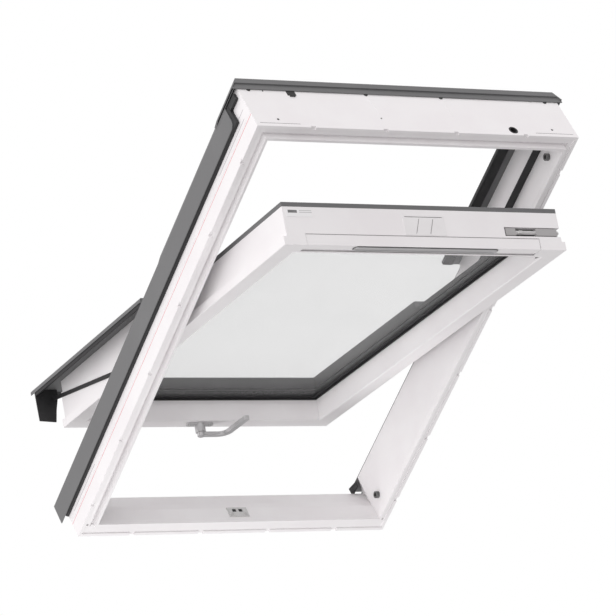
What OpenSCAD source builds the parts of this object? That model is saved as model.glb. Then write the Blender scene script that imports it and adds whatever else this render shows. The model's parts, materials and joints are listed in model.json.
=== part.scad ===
// Centre-pivot roof window: moulded frame, sash with double glazing, outer covers and fittings.
// X runs across the window (right as seen from the room), Y out through the roof, Z up the slope.
// The origin is the middle of the frame's lower edge, in the plane of the room-side rim.
// The sash is drawn standing open, turned about its pivot pins with the top leaning into the room.

/* [Frame] */
// Width of the frame over its stiles
frame_w = 780; // [660:1:1140]
// Height of the frame from sill to head
frame_h = 1178; // [978:1:1398]
// Depth of the frame from its room-side lip to its outer face
frame_d = 134; // [134:1:150]
// Width of a stile or head from the rim to the lip
member_w = 32; // [28:1:40]
// Height of the sill's lip above the frame's lower edge
sill_h = 47; // [44:1:56]
// How far the lip stands towards the room beyond the rim
lip_proud = 10; // [6:1:10]
// Width of the groove for the room lining
groove_w = 6; // [4:0.5:7]
// Depth of the groove, measured from the lip
groove_d = 17; // [14:1:24]
// Rim notches on each stile, and on the head and sill
notches_high = 6; // [2:1:8]
notches_wide = 4; // [2:1:6]

/* [Sash] */
// Gap between the sash flange and the frame's stile, each side
side_gap = 17; // [12:0.5:20]
// Gap between the sash and the head when closed
head_gap = 4.7; // [4:0.1:6]
// How far the closed sash reaches down behind the sill's lip
sill_lap = 6; // [2:0.5:8]
// Distance from the lip plane to the closed sash's room face
sash_set = 45; // [44:0.5:50]
// Depth of the sash members
sash_d = 84; // [80:1:90]
// Width of the sash members on the room side
sash_face = 40; // [34:1:50]
// Width and thickness of the flange round the sash's room side
flange_w = 8; // [5:1:8]
flange_t = 19; // [12:1:20]
// How far the sash is turned open
rest_open = 26; // [0:1:160]

/* [Glazing] */
// Thickness of each pane
pane_t = 4; // [3:1:6]
// Gap between the panes
pane_gap = 16; // [12:1:16]
// Depth from the room face to the inner pane
pane_set = 57; // [54:1:58]
// Cover of the pane's edge by the rebate
pane_edge = 14; // [10:1:16]
// How far the black gasket shows inside the sash
sightline = 13; // [8:1:20]

/* [Covers] */
// Thickness of the metal covers
sheet = 1.6; // [1:0.1:2]
// How far the covers stand out beyond the stile's side
cover_out = 9; // [8:0.5:14]
// How far the upper side covers reach in over the sash
cover_in = 41.7; // [36:0.1:46]
// Height of the upper side covers over the frame
cover_rise = 17; // [15:0.5:20]
// How far the hood reaches down the slope from the head
hood_reach = 108; // [90:1:160]
// How far the side covers hang below the sill
cover_drop = 24; // [12:1:40]

/* [Pivot and fittings] */
// Height of the pivot above the frame's outer face
pivot_rise = 6; // [6:0.5:8]
// Distance from the sash's top edge to the pivot
pivot_s = 522.2; // [440:0.1:620]
// Radius of the pivot pin and its running clearance
pin_r = 5; // [4:0.5:5.5]
pin_clear = 0.05; // [0.02:0.01:0.1]
// Opening angle at which the bolt meets the airing bush, and the cleaning bush
air_open = 5.7; // [4:0.1:8]
clean_open = 163; // [160:0.5:163]
// Radius of the barrel bolt, and its travel
bolt_r = 4.6; // [3:0.1:5]
bolt_travel = 24; // [16:1:26]
// Length of the ventilation flap on the left and right of the centre
flap_left = 288; // [200:1:290]
flap_right = 277; // [200:1:290]
// Length of the grip strip
grip_l = 347; // [200:1:400]

/* [Hidden] */
$fn = 48;
eps = 0.01;                                   // overshoot of a cut past the face it opens

half_w = frame_w / 2;
open_half = half_w - member_w;                // half of the clear opening
head_z = frame_h - member_w;                  // lip of the head
deep_y = 66;                                  // the head is deeper in section beyond this
deep_z = head_z - 26;                         // underside of the head's deep part
sash_top_z = deep_z - head_gap;
sash_bot_z = sill_h - sill_lap;
sash_h = sash_top_z - sash_bot_z;
flange_half = open_half - side_gap;           // half width of the sash over its flange
sash_half = flange_half - flange_w;           // half width of the sash behind the flange
inner_half = flange_half - sash_face;         // half width of the opening in the sash
pivot_y = frame_d + pivot_rise;
pivot_z = sash_top_z - pivot_s;
pivot_o = pivot_y - sash_set;                 // depth of the pivot in the sash
lip_w = 7;
rim_w = 7.5;
floor_y = lip_proud + 2.5;                    // face between the groove and the rim
lip_bevel = 11;
notch_l = 12;
notch_d = 4;
mould_line = 0.8;

// outer covers of the frame
over_y = frame_d + sheet + 0.4;               // outside of the lower covers
cover_leg_y = 75;                             // lower edge of the covers' legs
slope_y = frame_d - 6.5;                      // where the leg turns in
upper_y = frame_d + cover_rise;
web_y = upper_y - 8;                          // underside of the upper cover's web
lap_half = open_half - cover_in;              // inner edge of the upper covers
upper_z = pivot_z + 105;                      // the upper covers start here
wall_t = 8;                                   // white wall that carries the upper covers
cover_half = half_w + cover_out;
hood_z = frame_h + 6;
hood_y = upper_y + sheet;

// outer covers of the sash, as depths from its room face
rise_o = frame_d - sash_set + 19;             // white part of the lower stiles
lap_o = rise_o + 2;
lap_leg = 10;
seal_drop = 5.5;
top_o = sash_d + 10;
lap_out = half_w - 13;                        // outer edge of the lower covers
lower_s = pivot_s + 46;                       // the lower covers start here
cap_s = sash_h + sash_bot_z + 3;              // just below the frame's lower edge
cap_t = 3;
end_s = cap_s + cap_t + 15;

pane_half = inner_half + pane_edge;
unit_t = 2 * pane_t + pane_gap;
rebate = pane_edge + 1.5;
bead_half = pane_half - 2;                    // the members' raised parts hold the pane's edge here
bead_s = sash_face - pane_edge + 2;

// bolt and bushes
bolt_s = 5.5;
bolt_o = 40;
bolt_up = pivot_s - bolt_s;
bolt_in = pivot_o - bolt_o;
bolt_reach = sqrt(bolt_up * bolt_up + bolt_in * bolt_in);
bolt_a = atan2(bolt_in, bolt_up);
bush_l = 8;

// flap hinge, measured on the sash
flap_s = 26;
flap_o = 8.5;
flap_r = 6.5;
flap_clear = 1;
flap_d = 24.5;
flap_pin = 2.5;
flap_foot = flap_s + flap_r + 1;

// handle, measured on the sash
handle_x = -8;
handle_s = sash_h - 24;
handle_t = 22;
hub_r = 9;

// ---------- placing ----------
module in_frame() translate([0, -lip_proud, 0]) children();
module in_sash() in_frame() translate([0, pivot_y, pivot_z]) rotate([rest_open, 0, 0])
    translate([0, -pivot_o, pivot_s]) children();
module on_side(dir) mirror([dir < 0 ? 1 : 0, 0, 0]) children();
module along_x(l) rotate([90, 0, 90]) linear_extrude(l, center = true) children();
module along_y(l) rotate([90, 0, 0]) mirror([0, 0, 1]) linear_extrude(l) children();
module box(x, y, z) translate([x[0], y[0], z[0]]) cube([x[1] - x[0], y[1] - y[0], z[1] - z[0]]);
// box on the sash: z counts down from its top edge
module sbox(x, o, s) box(x, o, [-s[1], -s[0]]);
module stile_rod(s0, s1) translate([0, 0, -s1]) linear_extrude(s1 - s0) children();
module rod_x(r, x0, x1) translate([x0, 0, 0]) rotate([0, 90, 0]) cylinder(r = r, h = x1 - x0);
module ring_x(r0, r1, x0, x1) translate([x0, 0, 0]) rotate([0, 90, 0]) difference() {
    cylinder(r = r1, h = x1 - x0);
    translate([0, 0, -1]) cylinder(r = r0, h = x1 - x0 + 2);
}

// ---------- frame members ----------
// Room side of a member: lip, lining groove, face and rim; a counts from the lip, w is the width
function lip_edge(w) = [[lip_bevel, 0], [0, 1.2], [0, lip_w], [groove_d, lip_w],
    [groove_d, lip_w + groove_w], [floor_y, lip_w + groove_w], [floor_y, w - rim_w],
    [lip_proud, w - rim_w], [lip_proud, w]];

function stile_outline() = concat([for (p = lip_edge(member_w)) [open_half + p[1], p[0]]],
    [[half_w, 51.2], [half_w - mould_line, 52], [half_w, 52.8], [half_w, frame_d], [open_half, frame_d]]);
function head_outline() = concat([for (p = lip_edge(member_w)) [p[0], head_z + p[1]]],
    [[frame_d, frame_h], [frame_d, deep_z], [deep_y, deep_z], [deep_y, head_z]]);
sill_y = frame_d - 16;
function sill_outline() = concat([for (p = lip_edge(sill_h)) [p[0], sill_h - p[1]]],
    [[sill_y, 0], [sill_y, 10], [78, 17], [75, 27], [sash_set - 2, 30], [sash_set - 2, sill_h]]);

// the mitred outline of a member, seen from the room
module mitre(pts) translate([0, -1, 0]) along_y(frame_d + 2) polygon(pts);

module notch_row(count, length) for (i = [0 : count - 1])
    translate([(i - (count - 1) / 2) * length / count, 0, 0]) children();

module frame_head() in_frame() color("white") difference() {
    intersection() {
        along_x(frame_w) polygon(head_outline());
        mitre([[-half_w, frame_h], [half_w, frame_h], [open_half, head_z], [open_half, deep_z - 1],
            [-open_half, deep_z - 1], [-open_half, head_z]]);
    }
    notch_row(notches_wide, frame_w - 92) box([-notch_l / 2, notch_l / 2],
        [lip_proud - 1, lip_proud + notch_d], [frame_h - rim_w, frame_h + 1]);
    translate([cable_x, cable_y, head_z - 1]) cylinder(r = cable_r, h = member_w + 2);
    for (x = [-pilot_x, pilot_x]) translate([x, pilot_y, frame_h - pilot_d]) cylinder(r = pilot_r, h = pilot_d + 1);
    for (x = [-pilot_x, pilot_x]) box([x - mark_l / 2, x + mark_l / 2], mark_y,
        [frame_h - mark_d, frame_h + 1]);
}
cable_x = 232;
cable_y = 26;
cable_r = 8.5;
pilot_x = half_w - 57;
pilot_y = 32.5;
pilot_r = 3;
pilot_d = 14;
mark_l = 95;
mark_y = [19, 20.2];
mark_d = 2.5;

module frame_sill() in_frame() color("white") difference() {
    intersection() {
        along_x(frame_w) polygon(sill_outline());
        mitre([[-half_w, 0], [half_w, 0], [open_half, sill_h], [-open_half, sill_h]]);
    }
    notch_row(notches_wide, frame_w - 92) box([-notch_l / 2, notch_l / 2],
        [lip_proud - 1, lip_proud + notch_d], [-1, rim_w]);
    for (x = catch_screws) translate([x, catch_y, sill_h - catch_hole])
        cylinder(r = screw_r, h = catch_hole + 1);
}

module frame_stile(dir) in_frame() on_side(dir) color("white") difference() {
    union() {
        intersection() {
            linear_extrude(frame_h) polygon(stile_outline());
            mitre([[half_w, 0], [half_w, frame_h], [open_half, head_z], [open_half, sill_h]]);
        }
        box([open_half, open_half + wall_t], [frame_d, web_y], [upper_z, head_z]);
    }
    translate([half_w - 13, lip_proud - 1, rim_peg_z]) along_y(rim_peg_d) circle(rim_peg_r);
    translate([0, 0, frame_h / 2]) rotate([0, -90, 0]) notch_row(notches_high, frame_h)
        box([-notch_l / 2, notch_l / 2], [lip_proud - 1, lip_proud + notch_d],
            [-half_w - 1, rim_w - half_w]);
    for (a = [air_open, clean_open]) at_bush(a) rod_x(bolt_r + 1, open_half - 1, open_half + 12);
    for (p = plate_screws) translate([0, p[0], pivot_z + p[1]]) rod_x(screw_r, open_half - 1, open_half + 20);
}
rim_peg_z = 33;
rim_peg_r = 3;
rim_peg_d = 10;
module frame_stile_left() frame_stile(-1);
module frame_stile_right() frame_stile(1);

// where the shot bolt points when the sash stands open by angle a
module at_bush(a) translate([0, pivot_y - bolt_reach * sin(bolt_a + a), pivot_z + bolt_reach * cos(bolt_a + a)])
    children();

// ---------- covers of the frame ----------
// grey metal
grey = "dimgray";
module lower_cover(dir) in_frame() on_side(dir) color(grey) {
    box([open_half, half_w], [frame_d, over_y], [0, upper_z]);
    translate([0, 0, -cover_drop]) linear_extrude(upper_z + cover_drop) polygon([
        [half_w, frame_d], [half_w, over_y], [cover_half, slope_y], [cover_half, cover_leg_y],
        [cover_half - sheet, cover_leg_y], [cover_half - sheet, slope_y - 0.6]]);
}
module lower_cover_left() lower_cover(-1);
module lower_cover_right() lower_cover(1);

shoulder_x = half_w - 5;
wall_x = open_half + wall_t;
module upper_cover(dir) in_frame() on_side(dir) color(grey) difference() {
    translate([0, 0, upper_z]) linear_extrude(frame_h - upper_z) polygon([
        [wall_x, frame_d], [wall_x, web_y], [lap_half, web_y], [lap_half, upper_y],
        [shoulder_x, upper_y], [cover_half, slope_y], [cover_half, cover_leg_y],
        [cover_half - sheet, cover_leg_y], [cover_half - sheet, slope_y - 0.6],
        [shoulder_x - 0.8, upper_y - sheet], [lap_half + sheet, upper_y - sheet],
        [lap_half + sheet, web_y + sheet], [wall_x + sheet, web_y + sheet], [wall_x + sheet, frame_d]]);
    // the leg ends below the hood, with a rounded corner
    translate([cover_half - 4, cover_leg_y - 1, leg_end_z]) cube([8, slope_y - cover_leg_y, frame_h]);
    translate([cover_half - 4, cover_leg_y, leg_end_z - leg_round]) difference() {
        translate([0, -1, 0]) cube([8, leg_round + 1, leg_round + 1]);
        translate([-1, leg_round, 0]) rotate([0, 90, 0]) cylinder(r = leg_round, h = 10);
    }
}
leg_end_z = frame_h - 54;
leg_round = 14;
module upper_cover_left() upper_cover(-1);
module upper_cover_right() upper_cover(1);

module sill_cover() in_frame() color(grey) along_x(2 * (inner_half + rebate)) polygon([
    [sill_y, 8], [sill_y + sheet, 8], [sill_y + sheet, -10], [sill_y + 9, -16],
    [sill_y + 9 - sheet, -17.2], [sill_y, -11]]);

hood_half = cover_half + 3;
hood_shoulder = shoulder_x + 3;
hood_edge_y = slope_y + 1.5;                  // lower edge of the hood's sloped sides
hood_step = frame_h + 2.6;
hood_leg_y = frame_d - 10;
module hood() in_frame() color(grey) {
    intersection() {
        along_x(2 * hood_half) polygon([
            [hood_y, frame_h - hood_reach], [hood_y, hood_z], [hood_y - 14, hood_z], [hood_y - 14, hood_step],
            [hood_leg_y, hood_step], [hood_leg_y, hood_step - sheet], [hood_y - 14 + sheet, hood_step - sheet],
            [hood_y - 14 + sheet, hood_z - sheet], [hood_y - sheet, hood_z - sheet],
            [hood_y - sheet, frame_h - hood_reach]]);
        linear_extrude(2 * frame_h) polygon([[-hood_half, 0], [-hood_half, hood_edge_y],
            [-hood_shoulder, hood_y], [hood_shoulder, hood_y], [hood_half, hood_edge_y], [hood_half, 0]]);
    }
    // sloped sides over the side covers
    for (d = [-1, 1]) on_side(d) translate([0, 0, frame_h - hood_reach]) linear_extrude(hood_reach + 6)
        polygon([[hood_shoulder, hood_y], [hood_half, hood_edge_y], [hood_half - sheet, hood_edge_y],
            [hood_shoulder - 0.9, hood_y - sheet]]);
}

module hood_plug(dir) in_frame() on_side(dir) color("black")
    box([half_w, cover_half - sheet - 0.4], [slope_y - 19, slope_y - 3.5], [leg_end_z + 10, frame_h - 12]);
module hood_plug_left() hood_plug(-1);
module hood_plug_right() hood_plug(1);

clip_x = -268;
module hood_clip() in_frame() color("black") {
    box([clip_x - 10, clip_x + 10], [hood_leg_y - 13, hood_leg_y + 6], [frame_h, hood_step - sheet]);
    box([clip_x - 6, clip_x + 6], [hood_leg_y - 17, hood_leg_y - 12.9], [frame_h, frame_h + 3]);
}

// ---------- seals of the frame ----------
module upper_gasket(dir) in_frame() on_side(dir) color("black") translate([0, 0, upper_z])
    linear_extrude(deep_z - upper_z) polygon([
        [lap_half + 26, web_y], [lap_half, web_y], [lap_half, upper_y - 2], [lap_half - 1.5, upper_y - 2],
        [lap_half - 1.5, web_y - 1.6], [lap_half + 4, web_y - 2.7], [lap_half + 22, web_y - 2.7]]);
module upper_gasket_left() upper_gasket(-1);
module upper_gasket_right() upper_gasket(1);

seal_y = sash_set + flange_t + 1;
module stile_seal(dir) in_frame() on_side(dir) color("black")
    translate([0, 0, pivot_z + 42]) linear_extrude(deep_z - pivot_z - 45) polygon([
        [open_half, seal_y], [flange_half - 2, seal_y], [flange_half - 2, seal_y + 2],
        [open_half - 9, seal_y + 4], [open_half - 9, seal_y + 12], [open_half, seal_y + 12]]);
module stile_seal_left() stile_seal(-1);
module stile_seal_right() stile_seal(1);

module head_seal() in_frame() color("black") along_x(2 * (open_half - 10)) polygon([
    [deep_y, deep_z], [deep_y + 14, deep_z], [deep_y + 12, deep_z - 2.6], [deep_y + 2, deep_z - 2.6]]);

seal_end = 10;                                // the seal shows this far past the leg's end
module flashing_seal(dir) in_frame() on_side(dir) color("black") {
    linear_extrude(leg_end_z - 8) polygon([
        [half_w, cover_leg_y - 3.5], [half_w + 5, cover_leg_y - 2.5], [cover_half - sheet, cover_leg_y],
        [cover_half - sheet, cover_leg_y + 4], [half_w, cover_leg_y + 3]]);
    box([half_w, cover_half - sheet], [cover_leg_y - 3.5, slope_y - 4], [leg_end_z - 8, leg_end_z + seal_end]);
}
module flashing_seal_left() flashing_seal(-1);
module flashing_seal_right() flashing_seal(1);

module corner_seals() in_frame() color("black") for (d = [-1, 1]) on_side(d)
    translate([0, sill_y, 0]) along_y(frame_d - sill_y) polygon([
        [open_half - 9, 10], [open_half, 10], [open_half, 34]]);

// ---------- small parts of the frame ----------
screw_r = 2;
screw_head = 4;
catch_half = 25;
catch_y = 22;
catch_hole = 16;
catch_t = 2;
catch_screws = [-17, 17];
module striker_catch() in_frame() color("silver") difference() {
    box([-catch_half, catch_half], [15, sash_set - 2.4], [sill_h, sill_h + catch_t]);
    for (x = [-8, 8]) box([x - 5, x + 5], [29, 38], [sill_h - 1, sill_h + catch_t + 1]);
    for (x = catch_screws) translate([x, catch_y, sill_h - 1]) cylinder(r = screw_r + 0.3, h = 5);
}

module bolt_bushes() in_frame() color("gainsboro") for (d = [-1, 1]) on_side(d)
    for (a = [air_open, clean_open]) at_bush(a) {
        ring_x(bolt_r + 0.3, bolt_r + 1, open_half - bush_l, open_half + 10);
        ring_x(bolt_r + 1, bolt_r + 3.4, open_half - bush_l, open_half);
    }

plate_t = 5;
plate_screws = [[pivot_y - 56, -22], [pivot_y - 56, 22], [pivot_y - 24, -22], [pivot_y - 24, 22]];
ear_t = 6;
ear_x = sash_half + ear_t;
module hinge_plate(dir) in_frame() on_side(dir) color("silver") difference() {
    union() {
        box([open_half - plate_t, open_half], [pivot_y - 66, pivot_y], [pivot_z - 32, pivot_z + 32]);
        translate([0, pivot_y, pivot_z]) rod_x(12, open_half - plate_t, open_half);
        translate([0, pivot_y, pivot_z]) rod_x(pin_r, ear_x - ear_t, open_half - plate_t + eps);
        translate([0, pivot_y, pivot_z]) rod_x(9, ear_x + 2, open_half - plate_t + eps);
    }
    for (p = plate_screws) translate([0, p[0], pivot_z + p[1]]) rod_x(screw_r + 0.2, 0, open_half + 1);
}
module hinge_plate_left() hinge_plate(-1);
module hinge_plate_right() hinge_plate(1);

// pan-head screw with its shank along +X, head face at x = 0
module screw_x(l) rotate([0, 90, 0]) difference() {
    union() {
        translate([0, 0, -2]) cylinder(r = screw_head, h = 2);
        translate([0, 0, -eps]) cylinder(r = screw_r, h = l);
    }
    for (a = [0, 90]) rotate([0, 0, a]) translate([-2.2, -0.5, -3]) cube([4.4, 1, 2]);
}
module frame_screws() in_frame() color("silver") {
    for (d = [-1, 1], p = plate_screws) on_side(d)
        translate([open_half - plate_t, p[0], pivot_z + p[1]]) screw_x(22);
    for (x = catch_screws) translate([x, catch_y, sill_h + catch_t]) rotate([0, 90, 0]) screw_x(14);
}

// ---------- sash members ----------
function sash_outline(deep) = [[inner_half + 2, 0], [flange_half - 1, 0], [flange_half, 1],
    [flange_half, flange_t], [sash_half, flange_t], [sash_half, deep], [inner_half + rebate, deep],
    [inner_half + rebate, pane_set - 7.5], [inner_half, pane_set - 7.5], [inner_half, 2]];

module sash_stile(dir) in_sash() on_side(dir) color("white") difference() {
    union() {
        intersection() {
            stile_rod(0, sash_h) polygon(sash_outline(sash_d));
            translate([0, -1, 0]) along_y(sash_d + 2) polygon([[flange_half, 0], [inner_half, -sash_face],
                [inner_half, sash_face - sash_h], [flange_half, -sash_h]]);
        }
        sbox([bead_half, sash_half - sheet], [sash_d, top_o - sheet], [bead_s, lower_s]);
        sbox([bead_half, sash_half], [sash_d, rise_o], [lower_s, sash_h - 8]);
    }
    for (p = ear_screws) translate([0, p[0], -pivot_s + p[1]]) rod_x(screw_r, sash_half - 14, sash_half + 1);
    if (dir > 0) bolt_channel();
}
module sash_stile_left() sash_stile(-1);
module sash_stile_right() sash_stile(1);

// cross-section of a rail, y is depth and x counts from the sash's outer edge
function rail_outline(deep) = [[0, 0], [0, sash_face - 2], [2, sash_face], [pane_set - 7.5, sash_face],
    [pane_set - 7.5, sash_face - rebate], [deep, sash_face - rebate], [deep, 0]];
module rail(deep) intersection() {
    along_x(2 * flange_half) polygon([for (p = rail_outline(deep)) [p[0], -p[1]]]);
    union() {
        translate([0, -1, 0]) along_y(flange_t + 1) polygon([[-flange_half, 0], [flange_half, 0],
            [inner_half, -sash_face], [-inner_half, -sash_face]]);
        translate([0, flange_t, 0]) along_y(deep) polygon([[-sash_half, 0], [sash_half, 0],
            [sash_half, -flange_w], [inner_half, -sash_face], [-inner_half, -sash_face],
            [-sash_half, -flange_w]]);
    }
}
module sash_top_rail() in_sash() color("white") difference() {
    union() {
        rail(sash_d);
        sbox([-bead_half, bead_half], [sash_d, top_o - sheet], [sheet, bead_s]);
    }
    // recess of the ventilation flap and the bores of its pins
    sbox([-flap_left - flap_clear, flap_right + flap_clear], [-1, flap_d + flap_clear], [-1, flap_foot]);
    translate([0, flap_o, -flap_s]) rod_x(flap_pin + pin_clear, -flap_left - 8, flap_right + 8);
    bolt_channel();
    sbox([-latch_half, latch_half], [latch_o[0], latch_o[1]], [-1, 8]);
}
bolt_x0 = 196;
bolt_x1 = 325;
module bolt_channel() sbox([bolt_x0 - 1, flange_half + 1], [bolt_o - 10, bolt_o + 10], [-1, 11]);
latch_half = 50;
latch_o = [27, 72];

module sash_bottom_rail() in_sash() color("white") difference() {
    union() {
        translate([0, 0, -sash_h]) mirror([0, 0, 1]) rail(sash_d);
        sbox([-bead_half, bead_half], [sash_d, rise_o], [sash_h - bead_s, sash_h - 8]);
    }
    for (x = handle_screws) translate([handle_x + x, -1, -handle_s]) along_y(12) circle(screw_r);
}

// ---------- glazing ----------
pane_s = [sash_face - pane_edge, sash_h - sash_face + pane_edge];
module pane(o) in_sash() color("lightcyan", 0.4) sbox([-pane_half, pane_half], [o, o + pane_t], pane_s);
module inner_pane() pane(pane_set);
module outer_pane() pane(pane_set + pane_t + pane_gap);
// rectangular ring on the sash: outer half width xo, ring width w, depth range o, edge offset e
module ring_box(xo, w, o, e) difference() {
    sbox([-xo, xo], o, [pane_s[0] + e, pane_s[1] - e]);
    sbox([-xo + w, xo - w], [o[0] - 1, o[1] + 1], [pane_s[0] + e + w, pane_s[1] - e - w]);
}
module pane_spacer() in_sash() color("gray")
    ring_box(pane_half - 1, 7, [pane_set + pane_t, pane_set + pane_t + pane_gap], 1);
module inner_gasket() in_sash() color("black") union() {
    ring_box(pane_half, pane_edge + sightline, [pane_set - 3.5, pane_set], 0);
    ring_box(pane_half, pane_edge + 4, [pane_set - 7.5, pane_set - 3.4], 0);
}
module outer_gasket() in_sash() color("black")
    ring_box(pane_half, 6, [pane_set + unit_t, sash_d], 0);

// ---------- covers of the sash ----------
module sash_cover_top() in_sash() color(grey) {
    sbox([-sash_half, sash_half], [top_o - sheet, top_o], [0, bead_s]);
    sbox([-sash_half, sash_half], [sash_d, top_o - sheet], [0, sheet]);
    for (d = [-1, 1]) on_side(d) sbox([sash_half - sheet, sash_half], [sash_d, top_o - sheet], [sheet, bead_s]);
}
module sash_cover_upper(dir) in_sash() on_side(dir) color(grey) stile_rod(bead_s, lower_s) polygon([
    [bead_half, top_o], [sash_half, top_o], [sash_half, sash_d], [sash_half - sheet, sash_d],
    [sash_half - sheet, top_o - sheet], [bead_half, top_o - sheet]]);
module sash_cover_upper_left() sash_cover_upper(-1);
module sash_cover_upper_right() sash_cover_upper(1);
module sash_cover_lower(dir) in_sash() on_side(dir) color(grey) {
    stile_rod(lower_s, end_s) polygon([
        [bead_half, rise_o], [bead_half, lap_o], [lap_out - 3, lap_o], [lap_out, lap_o - 3],
        [lap_out, lap_o - lap_leg], [lap_out - sheet, lap_o - lap_leg], [lap_out - sheet, rise_o]]);
    // the upper end is folded down to the upper cover
    stile_rod(lower_s - sheet, lower_s) polygon([
        [bead_half, top_o], [bead_half, lap_o], [lap_out - 3, lap_o], [lap_out, lap_o - 3],
        [lap_out, lap_o - lap_leg], [lap_out - 6, top_o]]);
}
module sash_cover_lower_left() sash_cover_lower(-1);
module sash_cover_lower_right() sash_cover_lower(1);
module sash_cover_bottom() in_sash() color(grey) along_x(2 * bead_half) polygon([
    [rise_o, bead_s - sash_h], [lap_o, bead_s - sash_h], [lap_o, -end_s], [lap_o - lap_leg, -end_s],
    [lap_o - lap_leg, sheet - end_s], [rise_o, sheet - end_s]]);

seal_o = rise_o - 15.5;
module end_cap(dir) in_sash() on_side(dir) color("black")
    translate([0, 0, -cap_s - cap_t]) linear_extrude(cap_t) polygon([
        [inner_half + rebate + 3, rise_o], [lap_out - sheet, rise_o], [lap_out - sheet, seal_o + 6],
        [lap_out - 3, 33], [sash_half, 30], [sash_half - 5, 58], [inner_half + rebate + 3, 90]]);
module end_cap_left() end_cap(-1);
module end_cap_right() end_cap(1);

module cover_seal(dir) in_sash() on_side(dir) color("black") stile_rod(lower_s, cap_s) polygon([
    [lap_out - sheet, rise_o], [lap_out - sheet, seal_o], [lap_out - 5, seal_o],
    [lap_out - 20, rise_o - 6], [lap_out - 26, rise_o]]);
module cover_seal_left() cover_seal(-1);
module cover_seal_right() cover_seal(1);

strip_s = 800;                                // the strip slants out from here to the end cap
strip_o = [29, 84.5];
strip_w = 9;
module side_strip(dir) in_sash() on_side(dir) color("black") translate([sash_half + 1.25, 0, 0])
    along_x(2.5) polygon([[strip_o[0] - strip_w / 2, -strip_s], [strip_o[0] + strip_w / 2, -strip_s],
        [strip_o[1] + strip_w / 2, -cap_s], [strip_o[1] - strip_w / 2, -cap_s]]);
module side_strip_left() side_strip(-1);
module side_strip_right() side_strip(1);

// ---------- pivot on the sash ----------
ear_screws = [for (o = [sash_d - 37, sash_d - 15], s = [-16, 16]) [o, s]];
ear_bore = pin_r + 3;
module hinge_ear(dir) in_sash() on_side(dir) color("silver") difference() {
    union() {
        sbox([sash_half, ear_x], [sash_d - 45, pivot_o], [pivot_s - 24, pivot_s + 24]);
        translate([0, pivot_o, -pivot_s]) rod_x(12.5, sash_half, ear_x);
    }
    translate([0, pivot_o, -pivot_s]) rod_x(ear_bore, sash_half - 1, ear_x + 1);
    for (p = ear_screws) translate([0, p[0], -pivot_s + p[1]]) rod_x(screw_r + 0.2, sash_half - 1, ear_x + 1);
}
module hinge_ear_left() hinge_ear(-1);
module hinge_ear_right() hinge_ear(1);
module hinge_bush(dir) in_sash() on_side(dir) color("khaki")
    translate([0, pivot_o, -pivot_s]) ring_x(pin_r + pin_clear, ear_bore, sash_half, ear_x + 1);
module hinge_bush_left() hinge_bush(-1);
module hinge_bush_right() hinge_bush(1);

module sash_screws() in_sash() color("silver") {
    for (d = [-1, 1], p = ear_screws) on_side(d) translate([ear_x, p[0], -pivot_s + p[1]]) mirror([1, 0, 0])
        screw_x(ear_t + 12);
    for (x = handle_screws) translate([handle_x + x, -handle_plate, -handle_s]) rotate([0, 0, 90]) screw_x(11);
}

// ---------- fittings of the sash ----------
module latch_housing() in_sash() color("whitesmoke") difference() {
    sbox([-latch_half, latch_half], latch_o, [-0.8, 8]);
    // three panels between thin slanted grooves, with a groove along the outer edge
    for (x = [-17, 17]) translate([x, latch_o[0] + 20, 0]) rotate([0, 0, -20])
        translate([-0.7, -18, -1]) cube([1.4, 36, 3]);
    sbox([-latch_half + 4, latch_half - 4], [latch_o[1] - 5, latch_o[1] - 3.6], [-2, 1]);
}

module data_plate() in_sash() color("silver") sbox([-325, -265], [62, 79], [-0.6, 0]);

bolt_tip = open_half - bush_l + 5 - bolt_travel;  // shot, the bolt stands 5 mm in a bush
// housing: two saddles over the rod on a base strip
module bolt_housing() in_sash() color("gray") difference() {
    union() {
        sbox([bolt_x0, bolt_x1], [bolt_o - 9, bolt_o + 9], [9, 11]);
        for (x = [[bolt_x0 + 2, bolt_x0 + 26], [bolt_x1 - 52, bolt_x1]])
            sbox(x, [bolt_o - 8, bolt_o + 8], [-0.2, 9 + eps]);
    }
    translate([0, bolt_o, -bolt_s]) rod_x(bolt_r + 0.15, bolt_x0 + 8, bolt_x1 + 1);
}
module barrel_bolt() in_sash() color("silver") translate([0, bolt_o, -bolt_s]) {
    rod_x(bolt_r, bolt_x0 + 9 , bolt_tip - 2);
    translate([bolt_tip - 2 - eps, 0, 0]) rotate([0, 90, 0]) cylinder(r1 = bolt_r, r2 = bolt_r - 1.5, h = 2);
    translate([bolt_x0 + 34, -3, 0]) cube([9, 6, bolt_s + 0.6]);
}

handle_plate = 5;
handle_screws = [-26, 26];
module handle_base() in_sash() color("silver") difference() {
    union() {
        hull() for (x = [-26, 26]) translate([handle_x + x, -handle_plate, -handle_s])
            along_y(handle_plate) circle(8.5);
        translate([handle_x, -handle_t, -handle_s]) along_y(handle_t - 1) circle(hub_r + 3);
    }
    translate([handle_x, -handle_t - 1, -handle_s]) along_y(handle_t) circle(4 + pin_clear);
    for (x = handle_screws) translate([handle_x + x, -handle_plate - 1, -handle_s])
        along_y(handle_plate + 2) circle(screw_r + 0.2);
}

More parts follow.
